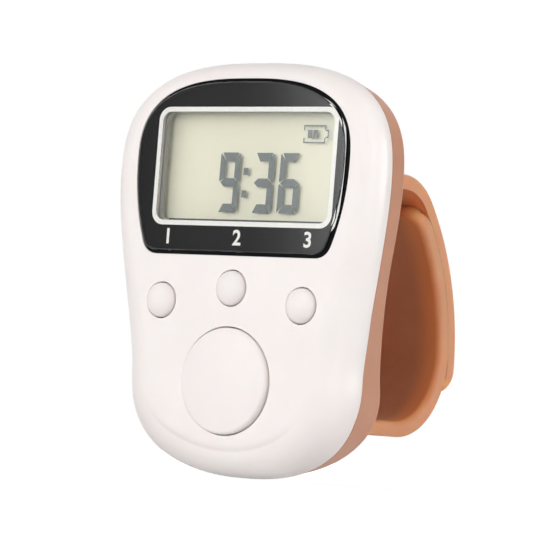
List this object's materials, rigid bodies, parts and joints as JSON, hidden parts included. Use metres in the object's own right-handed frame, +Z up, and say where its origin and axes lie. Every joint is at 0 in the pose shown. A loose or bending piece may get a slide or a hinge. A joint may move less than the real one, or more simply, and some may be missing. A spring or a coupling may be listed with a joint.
{
  "type": "digital tally counter",
  "caption": "Finger-worn digital tally counter: display under a black-framed lens, domed keys, large count key, hollowed back cover and a two-part silicone strap.",
  "frame": {"origin": "middle of the flat finger seat on the back cover, half way across the case", "axes": "+Z up along the case towards the display end, -Y out of the front face, +X to the right seen from the front"},
  "size_m": [0.0336, 0.0326, 0.0428],
  "materials": {
    "shell": "satin",
    "cover": "satin",
    "silicone": "soft matt",
    "lens": "polished",
    "display": "matt polariser",
    "film": "satin",
    "holder": "moulded",
    "board": "solder resist",
    "rubber": "matt",
    "black": "moulded",
    "steel": "plated",
    "brass": "plain",
    "ceramic": "fired"
  },
  "bodies": {
    "case": {"front_shell": "shell", "display_lens": "lens", "lens_adhesive": "black", "display_holder": "holder", "top_polariser": "film", "display_top_glass": "display", "display_low_glass": "display", "low_polariser": "film", "light_guide": "film", "reflector": "film", "zebra_strip": "rubber", "left_backlight": "ceramic", "right_backlight": "ceramic", "circuit_board": "board", "controller_chip": "black", "crystal": "steel", "capacitor_1": "ceramic", "capacitor_2": "ceramic", "battery_cell": "steel", "negative_contact": "brass", "positive_contact": "brass", "back_cover": "cover", "upper_left_screw": "steel", "upper_right_screw": "steel", "lower_left_screw": "steel", "lower_right_screw": "steel", "board_left_screw": "steel", "board_right_screw": "steel", "upper_strap_pin": "steel", "lower_strap_pin": "steel", "reset_switch": "black", "lock_switch": "black", "light_switch": "black", "count_switch": "black"},
    "reset_key": {"reset_button": "shell", "reset_plunger": "steel"},
    "lock_key": {"lock_button": "shell", "lock_plunger": "steel"},
    "light_key": {"light_button": "shell", "light_plunger": "steel"},
    "count_key": {"count_button": "shell", "count_plunger": "steel"},
    "upper_band": {"upper_strap": "silicone"},
    "lower_band": {"lower_strap": "silicone"}
  },
  "joints": [
    {"name": "reset_press", "type": "slide", "parent": "case", "child": "reset_key", "axis": [0, 1, 0], "range_m": [0, 0.0004], "stiffness_N_per_m": 1000, "springref_m": -0.0006},
    {"name": "lock_press", "type": "slide", "parent": "case", "child": "lock_key", "axis": [0, 1, 0], "range_m": [0, 0.0004], "stiffness_N_per_m": 1000, "springref_m": -0.0006},
    {"name": "light_press", "type": "slide", "parent": "case", "child": "light_key", "axis": [0, 1, 0], "range_m": [0, 0.0004], "stiffness_N_per_m": 1000, "springref_m": -0.0006},
    {"name": "count_press", "type": "slide", "parent": "case", "child": "count_key", "axis": [0, 1, 0], "range_m": [0, 0.0004], "stiffness_N_per_m": 1000, "springref_m": -0.0006},
    {"name": "upper_strap_open", "type": "hinge", "parent": "case", "child": "upper_band", "pos_m": [0, 0.0013, 0.005], "axis": [1, 0, 0], "range_deg": [0, 85]},
    {"name": "lower_strap_tighten", "type": "hinge", "parent": "case", "child": "lower_band", "pos_m": [0, 0.0048, -0.0212], "axis": [1, 0, 0], "range_deg": [0, 7]}
  ]
}
